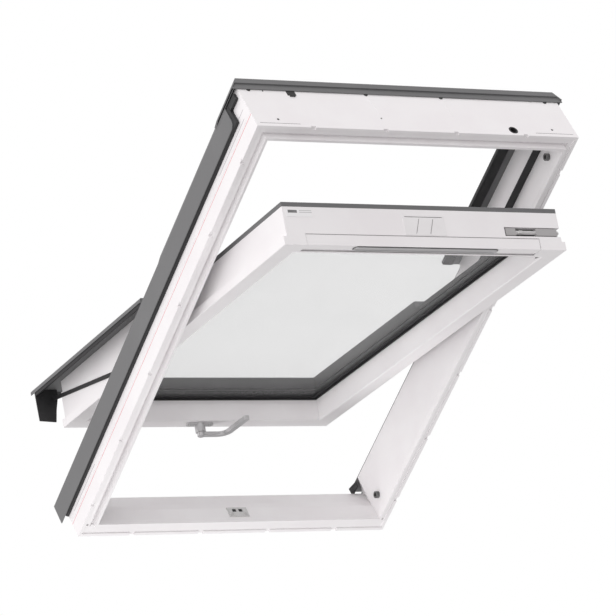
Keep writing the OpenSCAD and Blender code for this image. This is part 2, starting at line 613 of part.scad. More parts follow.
lever_r = 22;                                 // bend of the lever
lever_arm = 62;
lever_up = 112;
lever_w = 13;
lever_t = 9;
lever_tip = 3;                                // cut corners of the lever's end
module lever_outline() {
    translate([0, -lever_w / 2]) square([lever_arm - lever_r, lever_w]);
    translate([lever_arm - lever_r, lever_r]) difference() {
        circle(lever_r + lever_w / 2);
        circle(lever_r - lever_w / 2);
        translate([-60, 0]) square(120);
        translate([-60, -60]) square([60, 120]);
    }
    polygon([[lever_arm - lever_w / 2, lever_r], [lever_arm + lever_w / 2, lever_r],
        [lever_arm + lever_w / 2, lever_up - lever_tip], [lever_arm + lever_w / 2 - lever_tip, lever_up],
        [lever_arm - lever_w / 2 + lever_tip, lever_up], [lever_arm - lever_w / 2, lever_up - lever_tip]]);
    circle(hub_r);
}
lever_o = handle_t + 0.3;
module handle_lever() in_sash() color("silver") translate([handle_x, 0, -handle_s]) {
    translate([0, -lever_o - lever_t, 0]) along_y(lever_t) lever_outline();
    translate([0, -lever_o - lever_t - 2, 0]) along_y(2 + eps) circle(6);
    translate([0, -lever_o - eps, 0]) along_y(lever_o - 2) circle(4);
}

// ---------- ventilation flap ----------
module flap_outline() {
    polygon([[0.8, -1], [flap_d, -1], [flap_d, -(flap_s - 2)], [16, -(flap_s - 2)], [flap_o + 6, -flap_s],
        [flap_o - 6, -flap_s], [0.8, -(flap_s - 4)]]);
    translate([flap_o, -flap_s]) circle(flap_r);
}
module vent_flap() in_sash() color("white") {
    translate([(flap_right - flap_left) / 2, 0, 0]) along_x(flap_left + flap_right) flap_outline();
    translate([0, flap_o, -flap_s]) rod_x(flap_pin, -flap_left - 7, -flap_left + eps);
    translate([0, flap_o, -flap_s]) rod_x(flap_pin, flap_right - eps, flap_right + 7);
}
grip_s = [4, 21];
module grip_strip() in_sash() color("silver") difference() {
    translate([0, -2.2, -(grip_s[0] + grip_s[1]) / 2]) along_y(3) hull() for (d = [-1, 1])
        translate([d * (grip_l - 17) / 2, 0]) circle(8.5);
    translate([0, -3, -(grip_s[0] + grip_s[1]) / 2]) along_y(2.2) hull() for (d = [-1, 1])
        translate([d * (grip_l - 17) / 2, 0]) circle(6);
}

frame_head();
frame_sill();
frame_stile_left();
frame_stile_right();
hood();
hood_plug_left();
hood_plug_right();
hood_clip();
upper_cover_left();
upper_cover_right();
lower_cover_left();
lower_cover_right();
sill_cover();
upper_gasket_left();
upper_gasket_right();
stile_seal_left();
stile_seal_right();
head_seal();
flashing_seal_left();
flashing_seal_right();
corner_seals();
striker_catch();
bolt_bushes();
hinge_plate_left();
hinge_plate_right();
frame_screws();
sash_top_rail();
sash_bottom_rail();
sash_stile_left();
sash_stile_right();
inner_pane();
outer_pane();
pane_spacer();
inner_gasket();
outer_gasket();
sash_cover_top();
sash_cover_bottom();
sash_cover_upper_left();
sash_cover_upper_right();
sash_cover_lower_left();
sash_cover_lower_right();
end_cap_left();
end_cap_right();
cover_seal_left();
cover_seal_right();
side_strip_left();
side_strip_right();
hinge_ear_left();
hinge_ear_right();
hinge_bush_left();
hinge_bush_right();
latch_housing();
data_plate();
bolt_housing();
barrel_bolt();
handle_base();
handle_lever();
sash_screws();
vent_flap();
grip_strip();
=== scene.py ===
"""Centre-pivot roof window: looks for its frame, sash, covers, glass and fittings."""

import json
import math

import bmesh
import bpy
from bpy.props import FloatProperty, FloatVectorProperty, PointerProperty
from mathutils import Matrix, Vector


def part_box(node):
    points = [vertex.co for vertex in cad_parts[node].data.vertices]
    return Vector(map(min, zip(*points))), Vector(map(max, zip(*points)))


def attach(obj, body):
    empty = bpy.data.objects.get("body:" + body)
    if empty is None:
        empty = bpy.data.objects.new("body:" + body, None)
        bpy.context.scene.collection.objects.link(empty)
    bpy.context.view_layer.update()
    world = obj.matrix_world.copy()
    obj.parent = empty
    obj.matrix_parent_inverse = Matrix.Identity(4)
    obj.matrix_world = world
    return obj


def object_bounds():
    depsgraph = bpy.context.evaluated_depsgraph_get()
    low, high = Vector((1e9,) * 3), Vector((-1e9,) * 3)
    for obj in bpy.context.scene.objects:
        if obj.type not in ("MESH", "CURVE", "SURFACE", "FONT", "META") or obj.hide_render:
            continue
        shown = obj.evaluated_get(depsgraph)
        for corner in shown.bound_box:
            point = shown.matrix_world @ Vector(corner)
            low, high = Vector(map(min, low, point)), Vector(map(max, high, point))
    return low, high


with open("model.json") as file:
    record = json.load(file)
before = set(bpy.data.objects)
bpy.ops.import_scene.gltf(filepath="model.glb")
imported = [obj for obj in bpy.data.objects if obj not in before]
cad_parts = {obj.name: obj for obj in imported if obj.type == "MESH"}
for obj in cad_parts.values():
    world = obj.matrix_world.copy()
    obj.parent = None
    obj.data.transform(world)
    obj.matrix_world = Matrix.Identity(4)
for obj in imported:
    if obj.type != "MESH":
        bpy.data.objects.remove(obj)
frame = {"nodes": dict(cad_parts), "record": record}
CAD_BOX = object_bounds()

bl_info = {
    "name": "Roof Window Finishes",
    "version": (1, 0, 0),
    "blender": (4, 5, 0),
    "location": "3D View > Sidebar > Roof Window",
    "description": "Finishes, small parts and studio for a centre-pivot roof window",
    "category": "Object",
}

MM = 0.001
NODES = frame["nodes"]
ACROSS, OUT, UP = Vector((1, 0, 0)), Vector((0, 1, 0)), Vector((0, 0, 1))

# the sash stands open by the angle that its joint can still close
SASH_JOINT = next(j for j in frame["record"]["behaviour"]["joints"] if j["name"] == "sash_pivot")
SASH_OPEN = math.radians(-SASH_JOINT["range_deg"][0])
SASH_PIVOT = Vector(SASH_JOINT["pos_m"])
SASH_OUT = Vector((0, math.cos(SASH_OPEN), math.sin(SASH_OPEN)))
SASH_DOWN = Vector((0, math.sin(SASH_OPEN), -math.cos(SASH_OPEN)))
PIVOT_DEPTH = 95.0   # from the sash's room face, in millimetres
PIVOT_DROP = 522.2   # from the sash's top edge
HEAD_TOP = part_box("frame_head")[1][2]
SILL_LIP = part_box("striker_catch")[0][2]
SASH_DEPTH = 84.0    # of the sash's members, up to the outer pane's gasket
MOUNTS = {mount["name"]: mount["pos_m"] for mount in frame["record"]["mounts"]}

WHITE_FRAME = ("frame_head", "frame_sill", "frame_stile_left", "frame_stile_right")
WHITE_SASH = ("sash_top_rail", "sash_bottom_rail", "sash_stile_left", "sash_stile_right", "vent_flap")
GREY_COVERS = (
    "hood", "upper_cover_left", "upper_cover_right", "lower_cover_left", "lower_cover_right",
    "sill_cover", "sash_cover_top", "sash_cover_bottom", "sash_cover_upper_left",
    "sash_cover_upper_right", "sash_cover_lower_left", "sash_cover_lower_right",
)
RUBBER_SEALS = (
    "upper_gasket_left", "upper_gasket_right", "stile_seal_left", "stile_seal_right", "head_seal",
    "flashing_seal_left", "flashing_seal_right", "corner_seals", "inner_gasket", "outer_gasket",
    "cover_seal_left", "cover_seal_right", "side_strip_left", "side_strip_right",
)
BLACK_MOULDINGS = ("hood_plug_left", "hood_plug_right", "hood_clip", "end_cap_left", "end_cap_right")
PALE_MOULDINGS = ("latch_housing", "hinge_bush_left", "hinge_bush_right")
PLATED_STEEL = ("striker_catch", "hinge_plate_left", "hinge_plate_right", "hinge_ear_left",
                "hinge_ear_right", "barrel_bolt", "frame_screws", "sash_screws")
SATIN_ALUMINIUM = ("handle_base", "handle_lever", "grip_strip")


# ---------------------------------------------------------------- shader maths


class Shader:
    """A material's node tree, with one way to add a node."""

    def __init__(self, name, owner=None):
        self.material = owner or bpy.data.materials.new(name)
        self.material.use_nodes = True
        self.tree = self.material.node_tree
        self.tree.nodes.clear()

    def node(self, kind, settings=None, **inputs):
        """Adds a node: its settings first, then a value or a link for each named socket."""
        node = self.tree.nodes.new(kind)
        for key, value in (settings or {}).items():
            setattr(node, key, value)
        for key, value in inputs.items():
            self.feed(node.inputs[key.replace("_", " ")], value)
        return node

    def feed(self, socket, value):
        if isinstance(value, Signal):
            self.tree.links.new(value.socket, socket)
        else:
            socket.default_value = value

    def signal(self, node, output=0):
        return Signal(self, node.outputs[output])

    def place(self):
        """Where a point is on the object, in metres in its own frame."""
        return self.signal(self.node("ShaderNodeTexCoord"), "Object")

    def axes(self):
        split = self.node("ShaderNodeSeparateXYZ", Vector=self.place())
        return [Signal(self, output) for output in split.outputs]

    def noise(self, scale, detail=2.0, roughness=0.5, vector=None):
        return self.signal(
            self.node("ShaderNodeTexNoise", Vector=vector or self.place(), Scale=scale, Detail=detail,
                      Roughness=roughness),
            "Fac",
        )

    def cells(self, scale, vector=None):
        return self.signal(
            self.node("ShaderNodeTexVoronoi", Vector=vector or self.place(), Scale=scale), "Distance"
        )

    def tint(self, factor, first, second):
        """A colour that goes from first to second as factor goes from 0 to 1."""
        node = self.node("ShaderNodeMix", {"data_type": "RGBA", "clamp_factor": True})
        self.feed(node.inputs["Factor"], factor)
        self.feed(node.inputs[6], first)
        self.feed(node.inputs[7], second)
        return Signal(self, node.outputs[2])

    def bump(self, height, distance):
        return self.signal(self.node("ShaderNodeBump", Height=height, Distance=distance), "Normal")

    def finish(self, **inputs):
        surface = self.node("ShaderNodeBsdfPrincipled", **inputs)
        self.node("ShaderNodeOutputMaterial", Surface=Signal(self, surface.outputs["BSDF"]))
        return self.material


class Signal:
    """A shader socket that takes part in Python expressions."""

    def __init__(self, shader, socket):
        self.shader = shader
        self.socket = socket

    def maths(self, operation, *values):
        node = self.shader.node("ShaderNodeMath", {"operation": operation})
        for socket, value in zip(node.inputs, values):
            self.shader.feed(socket, value)
        return Signal(self.shader, node.outputs[0])

    def __add__(self, other):
        return self.maths("ADD", self, other)

    __radd__ = __add__

    def __sub__(self, other):
        return self.maths("SUBTRACT", self, other)

    def __rsub__(self, other):
        return self.maths("SUBTRACT", other, self)

    def __mul__(self, other):
        return self.maths("MULTIPLY", self, other)

    __rmul__ = __mul__

    def __abs__(self):
        return self.maths("ABSOLUTE", self)

    def most(self, other):
        return self.maths("MAXIMUM", self, other)

    def rise(self, low, high):
        """0 below low, 1 above high, smooth between."""
        settings = {"interpolation_type": "SMOOTHSTEP"}
        node = self.shader.node("ShaderNodeMapRange", settings, From_Min=low, From_Max=high)
        self.shader.feed(node.inputs["Value"], self)
        return Signal(self.shader, node.outputs[0])

    def near(self, centre, half_width, soft):
        """1 within half_width of centre, fading over soft."""
        return 1 - abs(self - centre).rise(half_width, half_width + soft)


# ---------------------------------------------------------------- settings


def colour(name, description, default):
    return FloatVectorProperty(name=name, description=description, default=default, subtype="COLOR",
                               size=3, min=0.0, max=1.0)


def factor(name, description, default):
    return FloatProperty(name=name, description=description, default=default, min=0.0, max=1.0,
                         subtype="FACTOR")


def length(name, description, default):
    return FloatProperty(name=name, description=description, default=default, min=0.0,
                         unit="LENGTH", subtype="DISTANCE", precision=5)


class MouldingSettings(bpy.types.PropertyGroup):
    """The white moulded members."""

    skin: colour("Skin", "Colour of the moulded skin", (0.87, 0.855, 0.86))
    skin_warm: colour("Skin, varied", "The skin's colour where it varies", (0.84, 0.815, 0.825))
    roughness: factor("Roughness", "Roughness of the skin", 0.42)
    grain: length("Grain", "Spacing of the skin's fine grain", 0.6 * MM)
    grain_depth: length("Grain depth", "Depth of the skin's fine grain", 0.02 * MM)
    edge: length("Edge radius", "Rounding of the moulded edges", 0.9 * MM)
    guide_line: colour("Guide line", "Colour of the printed line along the stiles", (0.68, 0.10, 0.12))
    scribe_line: colour("Scribe line", "Colour of the short lines beside it", (0.16, 0.14, 0.16))


class CoverSettings(bpy.types.PropertyGroup):
    """The lacquered metal covers."""

    lacquer: colour("Lacquer", "Colour of the lacquered covers", (0.135, 0.136, 0.138))
    lacquer_light: colour("Lacquer, light", "The lacquer where it is worn lighter", (0.165, 0.166, 0.168))
    roughness: factor("Roughness", "Roughness of the lacquer", 0.5)
    edge: length("Edge radius", "Rounding of the folded edges", 0.4 * MM)


class SealSettings(bpy.types.PropertyGroup):
    """The rubber seals and the black mouldings."""

    rubber: colour("Rubber", "Colour of the seals", (0.012, 0.012, 0.013))
    dust: colour("Dust", "Colour of the bloom on the seals", (0.028, 0.028, 0.028))
    moulding: colour("Black moulding", "Colour of the plugs and end caps", (0.014, 0.014, 0.015))
    edge: length("Edge radius", "Rounding of the plugs and end caps", 0.6 * MM)


class FittingSettings(bpy.types.PropertyGroup):
    """The metal and plastic fittings."""

    plating: colour("Plating", "Colour of the zinc plating", (0.8, 0.795, 0.79))
    aluminium: colour("Aluminium", "Colour of the handle and the grip strip", (0.66, 0.655, 0.66))
    pale_plastic: colour("Pale plastic", "Colour of the latch housing and bushes", (0.86, 0.845, 0.85))
    grey_plastic: colour("Grey plastic", "Colour of the bolt's housing", (0.42, 0.41, 0.41))
    bush: colour("Bush", "Colour of the bolt's bushes", (0.12, 0.12, 0.12))
    cap: colour("Corner cap", "Colour of the small cap at the sash's corner", (0.1, 0.1, 0.1))
    # shadow: painted shade, a near-black colour laid in holes, slots, grooves and gaps where shade falls
    shadow: colour("Recess", "Colour inside the small recesses", (0.03, 0.03, 0.03))
    handle_edge: length("Handle edge", "Rounding of the handle's edges", 1.2 * MM)


class GlassSettings(bpy.types.PropertyGroup):
    """The sealed glass unit."""

    glass: colour("Glass", "Tint of the panes", (0.5, 0.504, 0.506))
    haze: factor("Haze", "How much of the light each pane takes", 0.11)
    roughness: factor("Roughness", "Roughness of the panes", 0.02)
    gloss: factor("Gloss", "Strength of the panes' mirror-like sheen", 0.12)
    spacer: colour("Spacer", "Colour of the spacer between the panes", (0.02, 0.02, 0.021))


class TrimSettings(bpy.types.PropertyGroup):
    """The small bushes, tabs, inlays and labels; most inlays are dark sheets of painted shade."""

    bush_radius: length("Cable bush radius", "Outer radius of the cable hole's bush", 10.5 * MM)
    bush_lip: length("Cable bush lip", "How far the bush stands out of the head", 0.8 * MM)
    tab_width: length("Tab width", "Width of the half-round tabs under the hood", 9 * MM)
    rib_width: length("Rib width", "Width of the thin ribs on the head", 1.2 * MM)
    rib_height: length("Rib height", "Height of the thin ribs on the head", 0.5 * MM)
    # inlay: thickness of the dark sheets, most of them painted shade in slots, grooves and gaps
    inlay: length("Inlay", "Thickness of the dark inlays in the slots and grooves", 0.4 * MM)
    label: colour("Label", "Colour of the blank label", (0.86, 0.855, 0.86))
    label_mark: colour("Label mark", "Colour of the label's plain bars", (0.07, 0.07, 0.07))


class StudioSettings(bpy.types.PropertyGroup):
    """Camera, light and floor."""

    eye: FloatVectorProperty(name="Camera place", description="Where the camera stands",
                             default=(-4.1858, -5.2999, 5.4612), subtype="XYZ", unit="LENGTH")
    right: FloatVectorProperty(name="Camera right", description="Which way is right in the view",
                               default=(0.86656, -0.36325, 0.34222), subtype="DIRECTION")
    down: FloatVectorProperty(name="Camera down", description="Which way is down in the view",
                              default=(0.00948, -0.67361, -0.73902), subtype="DIRECTION")
    view_angle: FloatProperty(name="View angle", description="Angle the camera takes in",
                              default=math.radians(9.125), subtype="ANGLE")
    sky: FloatProperty(name="Sky light", description="Strength of the even light", default=0.60, min=0.0)
    sky_slope: FloatVectorProperty(name="Sky slope", description="How the even light grows to each side",
                                   default=(-0.74, 0.40, 0.50), subtype="XYZ")
    sky_tint: colour("Sky tint", "Colour of the even light", (1.0, 0.982, 0.988))
    sky_least: FloatProperty(name="Least sky light", description="The even light on the far side",
                             default=0.42, min=0.0)
    key: FloatProperty(name="Key light", description="Strength of the light beside the camera",
                       default=0.2, min=0.0)
    key_spread: FloatProperty(name="Key light's spread", description="How wide the key light looks",
                              default=math.radians(30.0), subtype="ANGLE")
    key_towards: FloatVectorProperty(name="Key light from", description="Where the key light stands",
                                     default=(-0.66, -0.60, 0.45), subtype="DIRECTION")
    low_light: FloatProperty(name="Low light", description="Power of the soft light low in front, in watts",
                             default=15.0, min=0.0)
    low_place: FloatVectorProperty(name="Low light place", description="Where the low light stands",
                                   default=(-0.2, -1.35, -0.8), subtype="XYZ", unit="LENGTH")
    low_aim: FloatVectorProperty(name="Low light aim", description="Where the low light points",
                                 default=(0.0, 0.1, 0.3), subtype="XYZ", unit="LENGTH")
    low_size: length("Low light size", "Width of the low light", 1.4)
    floor_drop: length("Floor", "How far the floor lies under the window", 5 * MM)
    floor_size: length("Floor size", "Half the width of the floor", 30.0)
    dome_radius: length("Dome", "Radius of the pale dome round the window", 40.0)
    backdrop: FloatProperty(name="Backdrop", description="Brightness of the floor and backdrop",
                            default=1.0, min=0.0)


GROUPS = (
    ("roof_window_moulding", MouldingSettings),
    ("roof_window_covers", CoverSettings),
    ("roof_window_seals", SealSettings),
    ("roof_window_fittings", FittingSettings),
    ("roof_window_glass", GlassSettings),
    ("roof_window_trim", TrimSettings),
    ("roof_window_studio", StudioSettings),
)


def rgba(value):
    return (*value, 1.0)


def coat(names, material):
    for name in names:
        node = NODES[name]
        node.data.materials.clear()
        node.data.materials.append(material)


def soften(names, radius):
    """Rounds the hard edges of these pieces a little."""
    for name in names:
        bevel = NODES[name].modifiers.new("soft edges", "BEVEL")
        bevel.width = radius
        bevel.segments = 2
        bevel.limit_method = "ANGLE"
        bevel.angle_limit = math.radians(40)


# ---------------------------------------------------------------- finishes


def moulded_skin(name, settings, guide_line=False):
    """White moulded polyurethane: fine grain, faint cloudiness, and the lines printed on the stiles."""
    shader = Shader(name)
    cloud = shader.noise(9.0, detail=3.0, roughness=0.55)
    speck = shader.noise(1.0 / settings.grain, detail=2.0, roughness=0.6)
    mixed = cloud.rise(0.35, 0.7) * 0.8 + speck * 0.2
    skin = shader.tint(mixed, rgba(settings.skin), rgba(settings.skin_warm))
    if guide_line:
        x, y, z = shader.axes()
        thin, soft, fade = 0.5 * MM, 0.3 * MM, 4 * MM
        outer = abs(x).rise(389.9 * MM, 389.95 * MM)
        worn = 0.45 + 0.9 * shader.noise(60.0, detail=1.0)
        skin = shader.tint(y.near(37.5 * MM, thin, soft) * outer * worn, skin, rgba(settings.guide_line))
        ends = z.near(1075 * MM, 75 * MM, fade) + z.near(100 * MM, 70 * MM, fade)
        short = y.near(52 * MM, thin, soft) * ends
        shorter = y.near(69 * MM, 0.4 * MM, soft) * z.near(1120 * MM, 40 * MM, fade)
        skin = shader.tint((short + shorter) * outer * 0.8, skin, rgba(settings.scribe_line))
    return shader.finish(
        Base_Color=skin,
        Roughness=settings.roughness + 0.08 * (cloud - 0.5) + 0.06 * (speck - 0.5),
        Normal=shader.bump(speck, settings.grain_depth),
    )


def lacquered_sheet(settings):
    """Grey lacquer with a fine texture and faint lighter patches."""
    shader = Shader("grey lacquer")
    cloud = shader.noise(7.0, detail=4.0, roughness=0.6)
    grain = shader.noise(2200.0, detail=2.0, roughness=0.6)
    streak = shader.noise(30.0, detail=2.0, roughness=0.5)
    mixed = cloud.rise(0.4, 0.75) * 0.5 + grain * 0.3 + streak * 0.2
    return shader.finish(
        Base_Color=shader.tint(mixed, rgba(settings.lacquer), rgba(settings.lacquer_light)),
        Roughness=settings.roughness + 0.12 * (cloud - 0.5),
        Normal=shader.bump(grain, 0.00002),
    )


def rubber(settings):
    """Matt rubber with a light bloom and a fine grain."""
    shader = Shader("seal rubber")
    cloud = shader.noise(40.0, detail=3.0, roughness=0.6)
    grain = shader.noise(3000.0, detail=1.0, roughness=0.5)
    return shader.finish(
        Base_Color=shader.tint(cloud.rise(0.5, 0.85) * 0.7, rgba(settings.rubber), rgba(settings.dust)),
        Roughness=0.55 + 0.2 * (cloud - 0.5),
        Normal=shader.bump(grain, 0.00003),
    )


def black_moulding(settings):
    """Matt black plastic with a moulded grain."""
    shader = Shader("black moulding")
    grain = shader.noise(1800.0, detail=2.0, roughness=0.6)
    cloud = shader.noise(25.0, detail=2.0, roughness=0.5)
    return shader.finish(
        Base_Color=shader.tint(cloud * 0.5, rgba(settings.moulding), rgba(settings.dust)),
        Roughness=0.48 + 0.15 * (grain - 0.5),
        Normal=shader.bump(grain, 0.00004),
    )


def plastic(name, base, roughness=0.4):
    """Smooth plastic of one colour, faintly uneven."""
    base = tuple(base)
    shader = Shader(name)
    grain = shader.noise(1500.0, detail=2.0, roughness=0.6)
    cloud = shader.noise(30.0, detail=2.0, roughness=0.5)
    darker = tuple(0.9 * part for part in base)
    return shader.finish(
        Base_Color=shader.tint(cloud, rgba(base), rgba(darker)),
        Roughness=roughness + 0.1 * (grain - 0.5),
        Normal=shader.bump(grain, 0.00002),
    )


def plated_steel(settings):
    """Zinc-plated sheet with a soft spangle."""
    shader = Shader("zinc plating")
    spangle = shader.cells(350.0)
    cloud = shader.noise(60.0, detail=3.0, roughness=0.6)
    dull = tuple(0.72 * part for part in settings.plating)
    return shader.finish(
        Base_Color=shader.tint(spangle * 0.6 + cloud * 0.5, rgba(settings.plating), rgba(dull)),
        Metallic=0.6,
        Roughness=0.34 + 0.22 * (cloud - 0.4),
        Normal=shader.bump(cloud, 0.00003),
    )


def satin_aluminium(settings):
    """Anodised aluminium with fine drawn lines."""
    shader = Shader("satin aluminium")
    stretch = shader.node("ShaderNodeMapping", Vector=shader.place(), Scale=(60.0, 2500.0, 2500.0))
    drawn = shader.noise(1.0, 2.0, 0.6, shader.signal(stretch))
    cloud = shader.noise(35.0, detail=2.0, roughness=0.5)
    dull = tuple(0.85 * part for part in settings.aluminium)
    return shader.finish(
        Base_Color=shader.tint(drawn * 0.6 + cloud * 0.3, rgba(settings.aluminium), rgba(dull)),
        Metallic=0.6,
        Roughness=0.33 + 0.14 * (drawn - 0.5),
        Normal=shader.bump(drawn, 0.000015),
    )


def clear_glass(settings):
    """Float glass with faint dust."""
    shader = Shader("float glass")
    dust = shader.noise(12.0, detail=4.0, roughness=0.6)
    darker = tuple(0.96 * part for part in settings.glass)
    return shader.finish(
        Base_Color=shader.tint(dust, rgba(settings.glass), rgba(darker)),
        Roughness=settings.roughness + 0.01 * dust,
        Alpha=settings.haze + 0.02 * (dust - 0.5),
        IOR=1.5,
        Specular_IOR_Level=settings.gloss,
    )


def blank_label(settings):
    """A plain label: white film with one dark bar and two faint lines."""
    shader = Shader("blank label")
    x, y, z = shader.axes()
    corner = on_sash(-325, 62, 0)
    along = x - corner.x
    across = (y - corner.y) * SASH_OUT.y + (z - corner.z) * SASH_OUT.z
    soft, thin = 0.3 * MM, 0.7 * MM
    bar = along.near(15 * MM, 10.5 * MM, soft) * across.near(11.5 * MM, 3 * MM, soft)
    lines = across.near(13.8 * MM, thin, soft) + across.near(9.8 * MM, thin, soft)
    faint = along.near(52 * MM, 21 * MM, 0.5 * MM) * lines
    film = shader.noise(80.0, detail=2.0)
    ink = (bar * 0.9 + faint * 0.4) * (0.8 + 0.3 * film)
    return shader.finish(
        Base_Color=shader.tint(ink, rgba(settings.label), rgba(settings.label_mark)),
        Roughness=0.35 + 0.1 * film,
    )


# ---------------------------------------------------------------- shapes


def on_sash(x, depth, drop):
    """A point of the sash, in millimetres across, from its room face and down from its top edge."""
    return (SASH_PIVOT + Vector((x * MM, 0, 0)) + (depth - PIVOT_DEPTH) * MM * SASH_OUT
            + (drop - PIVOT_DROP) * MM * SASH_DOWN)


def on_head(x, y, above=0.0):
    """A point of the head's up-slope face, in millimetres."""
    return Vector((x * MM, y * MM, HEAD_TOP + above * MM))


def rectangle(place, first, second):
    """Four corners, each put in its place from one of a first and one of a second pair of measures."""
    (a, b), (c, d) = first, second
    return [place(a, c), place(b, c), place(b, d), place(a, d)]


def ring(centre, radius, first, second, count=40, start=0.0, sweep=2 * math.pi):
    """Points of an arc round centre, in the plane of first and second."""
    closed = abs(sweep - 2 * math.pi) < 1e-6
    steps = count if closed else count - 1
    angles = [start + sweep * index / steps for index in range(count)]
    return [centre + radius * (math.cos(a) * first + math.sin(a) * second) for a in angles]


def add_piece(name, build, material, body, edge=0.0):
    """Makes a piece of the window from a bmesh and puts it on its body."""
    bmesh.ops.recalc_face_normals(build, faces=build.faces)
    mesh = bpy.data.meshes.new(name)
    build.to_mesh(mesh)
    build.free()
    piece = bpy.data.objects.new(name, mesh)
    bpy.context.scene.collection.objects.link(piece)
    mesh.materials.append(material)
    if edge:
        bevel = piece.modifiers.new("soft edges", "BEVEL")
        bevel.width = edge
        bevel.segments = 2
        bevel.limit_method = "ANGLE"
    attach(piece, body)


def prisms(outlines, along):
    """A bmesh of one closed prism for each outline, extruded by along."""
    build = bmesh.new()
    for outline in outlines:
        near = [build.verts.new(point) for point in outline]
        far = [build.verts.new(point + along) for point in outline]
        build.faces.new(near)
        build.faces.new(far)
        for index in range(len(near)):
            after = (index + 1) % len(near)
            build.faces.new((near[index], near[after], far[after], far[index]))
    return build


def lathe(profile, centre, axis, first, count=48):
    """A bmesh of a closed profile of (radius, height) pairs turned round an axis."""
    build = bmesh.new()
    second = axis.cross(first)
    rings = [[build.verts.new(point) for point in ring(centre + height * axis, radius, first, second, count)]
             for radius, height in profile]
    for index, lower in enumerate(rings):
        upper = rings[(index + 1) % len(rings)]
        for place in range(count):
            after = (place + 1) % count
            build.faces.new((lower[place], lower[after], upper[after], upper[place]))
    return build


# ---------------------------------------------------------------- operators


class ROOFWINDOW_OT_mouldings(bpy.types.Operator):
    """Finishes the white moulded frame, sash and ventilation flap"""

    bl_idname = "roof_window.mouldings"
    bl_label = "White mouldings"

    def execute(self, context):
        settings = context.scene.roof_window_moulding
        plain = moulded_skin("white moulding", settings)
        coat(WHITE_FRAME[:2] + WHITE_SASH, plain)
        coat(WHITE_FRAME[2:], moulded_skin("white stile moulding", settings, guide_line=True))
        soften(WHITE_FRAME + WHITE_SASH, settings.edge)
        return {"FINISHED"}


class ROOFWINDOW_OT_covers(bpy.types.Operator):
    """Finishes the grey lacquered covers"""

    bl_idname = "roof_window.covers"
    bl_label = "Grey covers"

    def execute(self, context):
        settings = context.scene.roof_window_covers
        coat(GREY_COVERS, lacquered_sheet(settings))
        soften(GREY_COVERS, settings.edge)
        return {"FINISHED"}


class ROOFWINDOW_OT_seals(bpy.types.Operator):
    """Finishes the rubber seals and the black mouldings"""

    bl_idname = "roof_window.seals"
    bl_label = "Seals and black mouldings"

    def execute(self, context):
        settings = context.scene.roof_window_seals
        coat(RUBBER_SEALS, rubber(settings))
        coat(BLACK_MOULDINGS, black_moulding(settings))
        soften(BLACK_MOULDINGS, settings.edge)
        return {"FINISHED"}


class ROOFWINDOW_OT_fittings(bpy.types.Operator):
    """Finishes the hinges, bolt, catch, screws, latch housing and handle"""

    bl_idname = "roof_window.fittings"
    bl_label = "Fittings"

    def execute(self, context):
        settings = context.scene.roof_window_fittings
        coat(PLATED_STEEL, plated_steel(settings))
        coat(SATIN_ALUMINIUM, satin_aluminium(settings))
        coat(PALE_MOULDINGS, plastic("pale plastic", settings.pale_plastic))
        coat(("bolt_bushes",), plastic("bush plastic", settings.bush))
        coat(("bolt_housing",), plastic("grey plastic", settings.grey_plastic))
        soften(("handle_base", "handle_lever"), settings.handle_edge)
        return {"FINISHED"}


class ROOFWINDOW_OT_glazing(bpy.types.Operator):
    """Finishes the two panes and the spacer between them"""

    bl_idname = "roof_window.glazing"
    bl_label = "Glazing"

    def execute(self, context):
        settings = context.scene.roof_window_glass
        coat(("inner_pane", "outer_pane"), clear_glass(settings))
        coat(("pane_spacer",), plastic("spacer", settings.spacer, 0.5))
        return {"FINISHED"}


